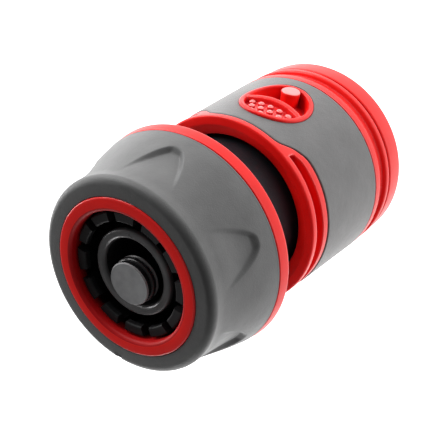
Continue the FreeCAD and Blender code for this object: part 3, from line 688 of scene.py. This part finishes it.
def notch_cutter():
    """Rounded square prism along -X that cuts the small notch in the nut's front edge."""
    columns = 24
    half = NOTCH_WIDTH / 2
    middle = NUT_FRONT_Z - NOTCH_DEPTH + NOTCH_CUT
    rings = []
    for x in (NUT_FRONT_R - NOTCH_DEPTH - 0.1, NUT_FRONT_R + 3):
        ring = []
        for column in range(columns):
            angle = 2 * math.pi * column / columns
            y = half * math.copysign(abs(math.cos(angle)) ** NOTCH_SQUARE, math.cos(angle))
            z = middle + NOTCH_CUT * math.copysign(abs(math.sin(angle)) ** NOTCH_SQUARE, math.sin(angle))
            ring.append((-x, y, z))
        rings.append(ring)
    ends = [[(rings[0][0][0], 0, middle)]] + rings + [[(rings[1][0][0], 0, middle)]]
    return disc_field("notch_cutter", ends, columns)


def make_nut_grip():
    piece = turned("nut_grip_skin", nut_grip_profile, FINE_COLUMNS)
    return cut(piece, [notch_cutter()])


def make_nut_shell():
    low = GRIP_LOW_Z
    cone_top = NUT_FRONT_Z - NUT_BORE_LENGTH
    cone_low = cone_top - NUT_CONE_LENGTH
    core = []
    for index in range(7):
        z = low + (NUT_FRONT_Z - NUT_GRIP_THICKNESS - low) * index / 6
        core.append((nut_radius(z) - NUT_GRIP_THICKNESS + 0.05, z))
    body = turned("nut_shell_body", rounded([
        (NUT_THREAD_BORE, NUT_REAR_Z, 0.3),
        (nut_radius(NUT_REAR_Z), NUT_REAR_Z, 0.5),
        (nut_radius(low) + 0.02, low - 0.08, 0.25),
    ] + core + [
        (NUT_RED_RING_R - 0.04, NUT_FRONT_Z - NUT_GRIP_THICKNESS),
        (NUT_RED_RING_R - 0.04, RED_FRONT_Z, 0.25),
        (NUT_OPENING_R, RED_FRONT_Z, 0.55),
        (NUT_OPENING_R, cone_top, 0.4),
        (NUT_CONE_R, cone_low, 0.4),
        (NUT_CONE_R, SEAT_HIGH_Z),
        (SEAT_R, SEAT_HIGH_Z),
        (SEAT_R, SEAT_LOW_Z),
        (SEAT_LIP_R, SEAT_LOW_Z),
        (SEAT_LIP_R, SEAT_LIP_Z),
        (NUT_THREAD_BORE, SEAT_LIP_Z),
    ]))
    body.data.materials.append(LOOKS["red_plastic"])
    body.data.materials.append(LOOKS["bore_shade_red"])
    # inward faces of the bore take the darker red of painted shade
    for face in body.data.polygons:
        inwards = face.normal.x * face.center.x + face.normal.y * face.center.y < 0
        if inwards and math.hypot(face.center.x, face.center.y) / MM < NUT_CONE_R + 0.1:
            face.material_index = 1
    return body


# Spigot, cap and springs

def make_spigot():
    lip = SPIGOT_LIP_Z
    groove_low = low_z("spigot_seal") - SEAL_PLAY
    groove_high = high_z("spigot_seal") + SEAL_PLAY
    body = turned("spigot_body", rounded([
        (SPIGOT_ROOT_R, SPIGOT_LOW_Z),
        (SPIGOT_SHANK_R, SPIGOT_LOW_Z, 0.3),
        (SPIGOT_SHANK_R, groove_low),
        (SPIGOT_SHANK_R - SEAL_GROOVE, groove_low),
        (SPIGOT_SHANK_R - SEAL_GROOVE, groove_high),
        (SPIGOT_SHANK_R, groove_high),
        (SPIGOT_SHANK_R, THREAD_TOP_Z),
        (SPIGOT_R, THREAD_TOP_Z, 0.3),
        (SPIGOT_R, lip - 4.4, 0.1),
        (SPIGOT_R - SPIGOT_BARB, lip - 2.42, 0.1),
        (SPIGOT_R, lip - 2.2, 0.1),
        (SPIGOT_R - SPIGOT_BARB, lip - 0.99, 0.1),
        (SPIGOT_R, lip - 0.88, 0.1),
        (SPIGOT_R, lip, 0.62),
        (SPIGOT_BORE_R, lip, 0.62),
        (SPIGOT_BORE_R, SPIGOT_LOW_Z + SPIGOT_ROOT),
        (SPIGOT_ROOT_R, SPIGOT_LOW_Z + SPIGOT_ROOT),
    ]), ROUND_COLUMNS)
    body.data.materials.append(LOOKS["dark_plastic"])
    body.data.materials.append(LOOKS["glint_plastic"])
    # the lip's top faces take the lighter plastic, a painted highlight
    for face in body.data.polygons:
        if face.center.z / MM > lip - SPIGOT_LIP:
            face.material_index = 1
    return body


def make_cap():
    """End cap of the plunger: grey face, black side, and a flange that the ring rests on, lighter as a
    painted glint.
    """
    top = NUT_FRONT_Z
    under = top - CAP_THICKNESS
    flange_high = top - CAP_FLANGE_DEPTH
    flange_low = flange_high - CAP_FLANGE
    disc = turned("cap_disc", rounded([
        (CAP_STEM_R, under - CAP_WAIST),
        (CAP_WAIST_R, under - CAP_WAIST, 0.2),
        (CAP_WAIST_R, flange_low, 0.05),
        (CAP_R + 0.1, flange_low, 0.05),
        (CAP_R + 0.12, flange_high - 0.2, 0.05),
        (CAP_R - 0.05, flange_high, 0.05),
        (CAP_WAIST_R, flange_high, 0.05),
        (CAP_WAIST_R, under, 0.2),
        (CAP_R - 0.02, under, 0.1),
        (CAP_R, top - 0.22, 0.1),
        (CAP_R - 0.12, top, 0.1),
        (CAP_R - 0.3, top - 0.03, 0.05),
        (CAP_MIDDLE_R, top - 0.06),
        (CAP_MIDDLE_R, under),
        (CAP_STEM_R, under),
    ]), CAP_COLUMNS)
    disc.data.materials.append(LOOKS["cap_plastic"])
    disc.data.materials.append(LOOKS["seal_rubber"])
    disc.data.materials.append(LOOKS["glint_plastic"])
    # the flange takes the lighter plastic, a painted glint
    for face in disc.data.polygons:
        drop = top - face.center.z / MM
        if drop > CAP_FLANGE_DEPTH - CAP_MARGIN:
            face.material_index = 2
        elif drop > CAP_FACE:
            face.material_index = 1
    return lean(disc)


def make_cap_ring():
    """Rubber ring between the cap's disc and its flange, pressed slightly oval."""
    wire = (CAP_RING_R - CAP_WAIST_R) / 2
    half = (CAP_FLANGE_DEPTH - CAP_THICKNESS) / 2
    centre = NUT_FRONT_Z - CAP_THICKNESS - half
    line = []
    for step in range(24):
        angle = 2 * math.pi * step / 24
        line.append((CAP_WAIST_R + wire + wire * math.cos(angle), centre + half * math.sin(angle)))
    return lean(turned("cap_ring_body", line, RING_COLUMNS))


def coil(name, radius, wire, low, high, turns):
    """Round wire wound evenly between two seats."""
    around_wire = 12
    per_turn = 56
    count = turns * per_turn
    points = []
    for step in range(count + 1):
        share = step / count
        angle = 2 * math.pi * turns * share
        z = low + wire / 2 + (high - low - wire) * share
        for tick in range(around_wire):
            bend = 2 * math.pi * tick / around_wire
            r = radius + wire / 2 * math.cos(bend)
            points.append((r * math.cos(angle), r * math.sin(angle), z + wire / 2 * math.sin(bend)))
    faces = []
    for step in range(count):
        for tick in range(around_wire):
            after = (tick + 1) % around_wire
            faces.append((step * around_wire + tick, step * around_wire + after,
                          (step + 1) * around_wire + after, (step + 1) * around_wire + tick))
    faces.append(tuple(range(around_wire)))
    faces.append(tuple(count * around_wire + tick for tick in range(around_wire)))
    return mesh_object(name, points, faces, 50)


# Materials

def material(name, color, roughness):
    made = bpy.data.materials.new(name)
    made.use_nodes = True
    shader = made.node_tree.nodes["Principled BSDF"]
    shader.inputs["Base Color"].default_value = (*color, 1)
    shader.inputs["Roughness"].default_value = roughness
    return made, shader


def noise_node(made, scale):
    tree = made.node_tree
    place = tree.nodes.new("ShaderNodeTexCoord")
    grain = tree.nodes.new("ShaderNodeTexNoise")
    grain.inputs["Scale"].default_value = scale
    grain.inputs["Detail"].default_value = 3.0
    grain.inputs["Roughness"].default_value = 0.5
    tree.links.new(place.outputs["Object"], grain.inputs["Vector"])
    return grain


def tint(made, shader, low, high, scale):
    """Colour that drifts softly between two near shades."""
    tree = made.node_tree
    grain = noise_node(made, scale)
    ramp = tree.nodes.new("ShaderNodeValToRGB")
    ramp.color_ramp.elements[0].position = 0.3
    ramp.color_ramp.elements[0].color = (*low, 1)
    ramp.color_ramp.elements[1].position = 0.7
    ramp.color_ramp.elements[1].color = (*high, 1)
    tree.links.new(grain.outputs["Fac"], ramp.inputs["Fac"])
    tree.links.new(ramp.outputs["Color"], shader.inputs["Base Color"])


def gloss(made, shader, low, high, scale):
    """Roughness that drifts between two values."""
    tree = made.node_tree
    grain = noise_node(made, scale)
    span = tree.nodes.new("ShaderNodeMapRange")
    span.inputs["To Min"].default_value = low
    span.inputs["To Max"].default_value = high
    tree.links.new(grain.outputs["Fac"], span.inputs["Value"])
    tree.links.new(span.outputs["Result"], shader.inputs["Roughness"])


def bump(made, shader, layers):
    """Surface relief from layers of (noise scale per metre, height in millimetres)."""
    tree = made.node_tree
    last = None
    for scale, height in layers:
        grain = noise_node(made, scale)
        relief = tree.nodes.new("ShaderNodeBump")
        relief.inputs["Strength"].default_value = 1.0
        relief.inputs["Distance"].default_value = height * MM
        tree.links.new(grain.outputs["Fac"], relief.inputs["Height"])
        if last:
            tree.links.new(last.outputs["Normal"], relief.inputs["Normal"])
        last = relief
    tree.links.new(last.outputs["Normal"], shader.inputs["Normal"])


def paint_shade_by_height(made, shader, start, end, low, high):
    """Painted shade: scales the colour along the axis, from one share to the other, heights in millimetres.
    """
    tree = made.node_tree
    place = tree.nodes.new("ShaderNodeTexCoord")
    split = tree.nodes.new("ShaderNodeSeparateXYZ")
    span = tree.nodes.new("ShaderNodeMapRange")
    span.interpolation_type = "SMOOTHSTEP"
    span.inputs["From Min"].default_value = start * MM
    span.inputs["From Max"].default_value = end * MM
    span.inputs["To Min"].default_value = low
    span.inputs["To Max"].default_value = high
    scale = tree.nodes.new("ShaderNodeVectorMath")
    scale.operation = "SCALE"
    before = shader.inputs["Base Color"].links[0].from_socket
    tree.links.new(place.outputs["Object"], split.inputs["Vector"])
    tree.links.new(split.outputs["Z"], span.inputs["Value"])
    tree.links.new(before, scale.inputs[0])
    tree.links.new(span.outputs["Result"], scale.inputs["Scale"])
    tree.links.new(scale.outputs["Vector"], shader.inputs["Base Color"])


def soft_grip(name, low, high):
    made, shader = material(name, high, 0.55)
    tint(made, shader, low, high, 260)
    gloss(made, shader, 0.48, 0.62, 900)
    bump(made, shader, ((5200, 0.035), (900, 0.03)))
    shader.inputs["Specular IOR Level"].default_value = 0.45
    shader.inputs["Sheen Weight"].default_value = 0.4
    shader.inputs["Sheen Roughness"].default_value = 0.4
    return made, shader


def sleeve_grip_look():
    return soft_grip("grey_grip_look", (0.112, 0.112, 0.112), (0.134, 0.134, 0.134))[0]


def nut_grip_look():
    made, shader = soft_grip("dark_grip_look", (0.093, 0.093, 0.093), (0.115, 0.115, 0.115))
    # painted shade: the front band of the nut grip darkens towards the front face
    paint_shade_by_height(made, shader, NUT_FRONT_Z - 2.6, NUT_FRONT_Z - 0.2, 1.0, 0.5)
    return made


def bore_shade_red():
    # painted shade: a darker copy of the red for the nut's bore, darker still deeper in
    made, shader = material("bore_red_look", (0.5, 0.004, 0.006), 0.5)
    tint(made, shader, (0.46, 0.0035, 0.005), (0.54, 0.004, 0.006), 120)
    paint_shade_by_height(made, shader, NUT_FRONT_Z - 3.2, NUT_FRONT_Z - 0.9, 0.02, 1.0)
    gloss(made, shader, 0.45, 0.6, 700)
    bump(made, shader, ((1500, 0.012),))
    shader.inputs["Specular IOR Level"].default_value = 0.2
    return made


def highlight_red():
    # painted highlight: pale red for the lit tops of the peg and dots
    made, shader = material("pale_red_look", (1.0, 0.2, 0.2), 0.3)
    tint(made, shader, (0.95, 0.2, 0.2), (1.0, 0.26, 0.25), 300)
    gloss(made, shader, 0.26, 0.36, 700)
    bump(made, shader, ((1500, 0.006),))
    shader.inputs["Specular IOR Level"].default_value = 0.8
    return made


def collet_shade_plastic():
    # the collet's own black, made darker than the other black plastics as painted shade inside the nut
    made, shader = material("collet_plastic_look", (0.007, 0.007, 0.008), 0.55)
    tint(made, shader, (0.006, 0.006, 0.007), (0.009, 0.009, 0.010), 300)
    gloss(made, shader, 0.5, 0.62, 900)
    bump(made, shader, ((4200, 0.015),))
    shader.inputs["Specular IOR Level"].default_value = 0.25
    return made


def glint_plastic():
    # painted highlight: a lighter copy of the black plastic for the spigot's lip and the cap's flange
    made, shader = material("lip_plastic_look", (0.095, 0.095, 0.097), 0.3)
    tint(made, shader, (0.085, 0.085, 0.087), (0.11, 0.11, 0.112), 300)
    gloss(made, shader, 0.24, 0.36, 900)
    bump(made, shader, ((4200, 0.015),))
    shader.inputs["Specular IOR Level"].default_value = 0.8
    return made


def painted_shade_and_highlight(made, shader, groove, edge):
    """Painted shade in grooves and corners, and a painted highlight along the rounded edges."""
    tree = made.node_tree
    before = shader.inputs["Base Color"].links[0].from_socket
    hollow = tree.nodes.new("ShaderNodeAmbientOcclusion")
    hollow.samples = 8
    hollow.inputs["Distance"].default_value = GROOVE_SHADE_REACH * MM
    free = tree.nodes.new("ShaderNodeMapRange")
    free.interpolation_type = "SMOOTHSTEP"
    free.inputs["From Min"].default_value = 0.35
    free.inputs["From Max"].default_value = 0.85
    tree.links.new(hollow.outputs["AO"], free.inputs["Value"])
    softened = tree.nodes.new("ShaderNodeBevel")
    softened.samples = 8
    softened.inputs["Radius"].default_value = EDGE_HIGHLIGHT_REACH * MM
    surface = tree.nodes.new("ShaderNodeNewGeometry")
    turn = tree.nodes.new("ShaderNodeVectorMath")
    turn.operation = "DOT_PRODUCT"
    tree.links.new(softened.outputs["Normal"], turn.inputs[0])
    tree.links.new(surface.outputs["Normal"], turn.inputs[1])
    rim = tree.nodes.new("ShaderNodeMapRange")
    rim.inputs["From Min"].default_value = 0.995
    rim.inputs["From Max"].default_value = 0.9
    rim.inputs["To Max"].default_value = 0.8
    tree.links.new(turn.outputs["Value"], rim.inputs["Value"])
    both = tree.nodes.new("ShaderNodeMath")
    both.operation = "MULTIPLY"
    tree.links.new(rim.outputs["Result"], both.inputs[0])
    tree.links.new(free.outputs["Result"], both.inputs[1])
    # mix towards the painted shade colour where the surface is hollow
    deep = tree.nodes.new("ShaderNodeMix")
    deep.data_type = "RGBA"
    deep.inputs["A"].default_value = (*groove, 1)
    tree.links.new(free.outputs["Result"], deep.inputs["Factor"])
    tree.links.new(before, deep.inputs["B"])
    # mix towards the painted highlight colour along convex edges
    pale = tree.nodes.new("ShaderNodeMix")
    pale.data_type = "RGBA"
    pale.inputs["B"].default_value = (*edge, 1)
    tree.links.new(both.outputs["Value"], pale.inputs["Factor"])
    tree.links.new(deep.outputs["Result"], pale.inputs["A"])
    tree.links.new(pale.outputs["Result"], shader.inputs["Base Color"])


def red_plastic():
    made, shader = material("red_plastic_look", (0.84, 0.008, 0.014), 0.3)
    tint(made, shader, (0.8, 0.010, 0.008), (0.9, 0.014, 0.011), 120)
    # painted shade in the grooves and painted highlight on the rounded edges of the red
    painted_shade_and_highlight(made, shader, (0.55, 0.0, 0.006), (1.0, 0.22, 0.23))
    gloss(made, shader, 0.26, 0.36, 700)
    bump(made, shader, ((1500, 0.006), (300, 0.01)))
    shader.inputs["Subsurface Weight"].default_value = 0.05
    shader.inputs["Subsurface Radius"].default_value = (1.0, 0.12, 0.08)
    shader.inputs["Subsurface Scale"].default_value = 0.0012
    shader.inputs["Specular IOR Level"].default_value = 0.25
    return made


def black_plastic():
    made, shader = material("black_plastic_look", (0.009, 0.015, 0.018), 0.35)
    tint(made, shader, (0.007, 0.013, 0.016), (0.011, 0.018, 0.022), 200)
    gloss(made, shader, 0.28, 0.42, 800)
    bump(made, shader, ((3500, 0.02), (500, 0.02)))
    shader.inputs["Specular IOR Level"].default_value = 0.3
    return made


def dark_plastic():
    made, shader = material("dark_plastic_look", (0.016, 0.016, 0.017), 0.4)
    tint(made, shader, (0.012, 0.012, 0.013), (0.021, 0.021, 0.022), 300)
    gloss(made, shader, 0.34, 0.48, 900)
    bump(made, shader, ((4200, 0.022), (700, 0.02)))
    return made


def cap_plastic():
    made, shader = material("cap_plastic_look", (0.24, 0.24, 0.245), 0.5)
    tint(made, shader, (0.2, 0.2, 0.205), (0.27, 0.27, 0.275), 500)
    gloss(made, shader, 0.44, 0.58, 1200)
    bump(made, shader, ((5000, 0.025), (900, 0.02)))
    return made


def seal_rubber():
    made, shader = material("seal_rubber_look", (0.008, 0.008, 0.009), 0.25)
    tint(made, shader, (0.006, 0.006, 0.007), (0.012, 0.012, 0.013), 400)
    gloss(made, shader, 0.2, 0.34, 900)
    bump(made, shader, ((2500, 0.012),))
    return made


def white_plastic():
    made, shader = material("white_plastic_look", (0.62, 0.62, 0.6), 0.35)
    tint(made, shader, (0.58, 0.58, 0.56), (0.66, 0.66, 0.64), 250)
    gloss(made, shader, 0.3, 0.42, 700)
    bump(made, shader, ((3000, 0.015),))
    return made


def spring_steel():
    made, shader = material("spring_steel_look", (0.55, 0.55, 0.55), 0.25)
    tint(made, shader, (0.5, 0.5, 0.5), (0.6, 0.6, 0.6), 900)
    gloss(made, shader, 0.2, 0.36, 2500)
    bump(made, shader, ((6000, 0.01),))
    shader.inputs["Metallic"].default_value = 1.0
    return made


def dress(piece, finish):
    """Gives a piece its finish, unless it was made with finishes of its own."""
    if not any(piece.data.materials):
        piece.data.materials.clear()
        piece.data.materials.append(finish)


LOOKS = {
    "black_plastic": black_plastic(),
    "dark_plastic": dark_plastic(),
    "red_plastic": red_plastic(),
    "grey_grip": sleeve_grip_look(),
    "dark_grip": nut_grip_look(),
    "bore_shade_red": bore_shade_red(),
    "highlight_red": highlight_red(),
    "glint_plastic": glint_plastic(),
    "collet_shade_plastic": collet_shade_plastic(),
    "seal_rubber": seal_rubber(),
    "cap_plastic": cap_plastic(),
    "white_plastic": white_plastic(),
    "spring_steel": spring_steel(),
}
SLOTS = {part["node"]: part["material_slot"] for part in frame["record"]["subparts"]}


def fit(piece, node, body):
    """The piece stands for a node: same body, same material slot."""
    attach(piece, body)
    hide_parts(node)
    dress(piece, LOOKS[SLOTS[node]])


def make_pieces():
    for node, part in frame["nodes"].items():
        part.data.materials.clear()
        # the collet takes its darker black, partly painted shade
        dress(part, LOOKS["collet_shade_plastic" if node == "clamp_collet" else SLOTS[node]])
        shade(part, 30)
    fit(make_sleeve_grip(), "sleeve_grip", "sleeve")
    fit(make_sleeve_shell(), "sleeve_shell", "sleeve")
    fit(make_nut_grip(), "nut_grip", "nut")
    fit(make_nut_shell(), "nut_shell", "nut")
    fit(make_spigot(), "spigot", "barrel")
    fit(make_cap(), "valve_cap", "plunger")
    fit(make_cap_ring(), "cap_ring", "plunger")
    radius, wire, turns = SLEEVE_SPRING
    big = coil("sleeve_spring_wire", radius, wire, LEDGE_TOP_Z, SHOULDER_Z, turns)
    fit(big, "sleeve_spring", "barrel")
    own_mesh(big)
    radius, wire, turns = VALVE_SPRING
    low = low_z("valve_spring")
    high = high_z("valve_spring")
    small = coil("valve_spring_wire", radius, wire, low, high, turns)
    fit(small, "valve_spring", "barrel")
    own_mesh(small)


# Camera, floor and light

def camera_axes():
    """Camera place and its right, up and forward directions in the object's frame."""
    tilt = math.radians(CAMERA_TILT)
    place = Vector((math.sin(tilt), 0, math.cos(tilt))) * CAMERA_DISTANCE
    towards = -place.normalized()
    right = towards.cross(Vector((0, 0, 1))).normalized()
    up = right.cross(towards)
    forward = (towards + CAMERA_AIM[0] * right + CAMERA_AIM[1] * up).normalized()
    right = forward.cross(Vector((0, 0, 1))).normalized()
    up = right.cross(forward)
    roll = math.radians(CAMERA_ROLL)
    rolled_right = math.cos(roll) * right + math.sin(roll) * up
    rolled_up = -math.sin(roll) * right + math.cos(roll) * up
    turn = Matrix.Rotation(math.radians(CAMERA_AZIMUTH), 3, "Z")
    spot = turn @ place + Vector((0, 0, NUT_FRONT_Z - CAMERA_TARGET_DROP))
    return spot, turn @ rolled_right, turn @ rolled_up, turn @ forward


def make_camera():
    spot, right, up, forward = camera_axes()
    data = bpy.data.cameras.new("camera")
    camera = bpy.data.objects.new("camera", data)
    bpy.context.scene.collection.objects.link(camera)
    data.sensor_width = 36.0
    data.lens = data.sensor_width * FOCAL_PX / PHOTO_HEIGHT_PX
    data.clip_start = 0.005
    data.clip_end = 20.0
    turn = Matrix((right, up, -forward)).transposed()
    camera.matrix_world = Matrix.Translation(spot * MM) @ turn.to_4x4()
    bpy.context.scene.camera = camera


def area_light(name, direction, distance, size, power):
    """Soft square lamp, aimed at the middle of the object from a direction."""
    target = Vector((0, 0, NUT_FRONT_Z / 2)) * MM
    data = bpy.data.lights.new(name, "AREA")
    data.shape = "SQUARE"
    data.size = size
    data.energy = power
    lamp = bpy.data.objects.new(name, data)
    bpy.context.scene.collection.objects.link(lamp)
    lamp.location = target + direction.normalized() * distance
    lamp.rotation_mode = "QUATERNION"
    lamp.rotation_quaternion = direction.to_track_quat("Z", "Y")


def make_world():
    """White studio walls at table height that darken towards the ceiling."""
    world = bpy.data.worlds.new("studio")
    world.use_nodes = True
    tree = world.node_tree
    back = tree.nodes["Background"]
    place = tree.nodes.new("ShaderNodeTexCoord")
    split = tree.nodes.new("ShaderNodeSeparateXYZ")
    ramp = tree.nodes.new("ShaderNodeValToRGB")
    tree.links.new(place.outputs["Generated"], split.inputs["Vector"])
    tree.links.new(split.outputs["Z"], ramp.inputs["Fac"])
    tree.links.new(ramp.outputs["Color"], back.inputs["Color"])
    ramp.color_ramp.elements[0].position = 0.0
    ramp.color_ramp.elements[0].color = (*[WALL_LIGHT] * 3, 1)
    ramp.color_ramp.elements[1].position = CEILING_FROM
    ramp.color_ramp.elements[1].color = (*[CEILING_LIGHT] * 3, 1)
    back.inputs["Strength"].default_value = 1.0
    bpy.context.scene.world = world


def make_floor():
    half = FLOOR_HALF
    corners = [(-half, -half, 0), (half, -half, 0), (half, half, 0), (-half, half, 0)]
    mesh = bpy.data.meshes.new("floor")
    mesh.from_pydata(corners, [], [(0, 1, 2, 3)])
    floor = bpy.data.objects.new("floor", mesh)
    bpy.context.scene.collection.objects.link(floor)
    made, shader = material("floor_look", (0.3, 0.3, 0.3), 0.7)
    tint(made, shader, (0.29, 0.29, 0.29), (0.32, 0.32, 0.32), 12)
    shader.inputs["Emission Color"].default_value = (1, 1, 1, 1)
    shader.inputs["Emission Strength"].default_value = FLOOR_GLOW
    floor.data.materials.append(made)


def make_lights():
    bpy.context.scene.view_settings.view_transform = "Standard"
    right, up, forward = camera_axes()[1:]
    for name, azimuth, elevation, distance, size, power in RIMS:
        across = math.radians(azimuth)
        height = math.radians(elevation)
        flat = math.cos(height)
        towards = Vector((math.cos(across) * flat, math.sin(across) * flat, math.sin(height)))
        area_light(name, towards, distance, size, power)
    for name, sideways, upwards, backwards, distance, size, power in LAMPS:
        area_light(name, right * sideways + up * upwards - forward * backwards, distance, size, power)


make_pieces()
make_camera()
make_world()
make_floor()
make_lights()

bpy.context.view_layer.update()
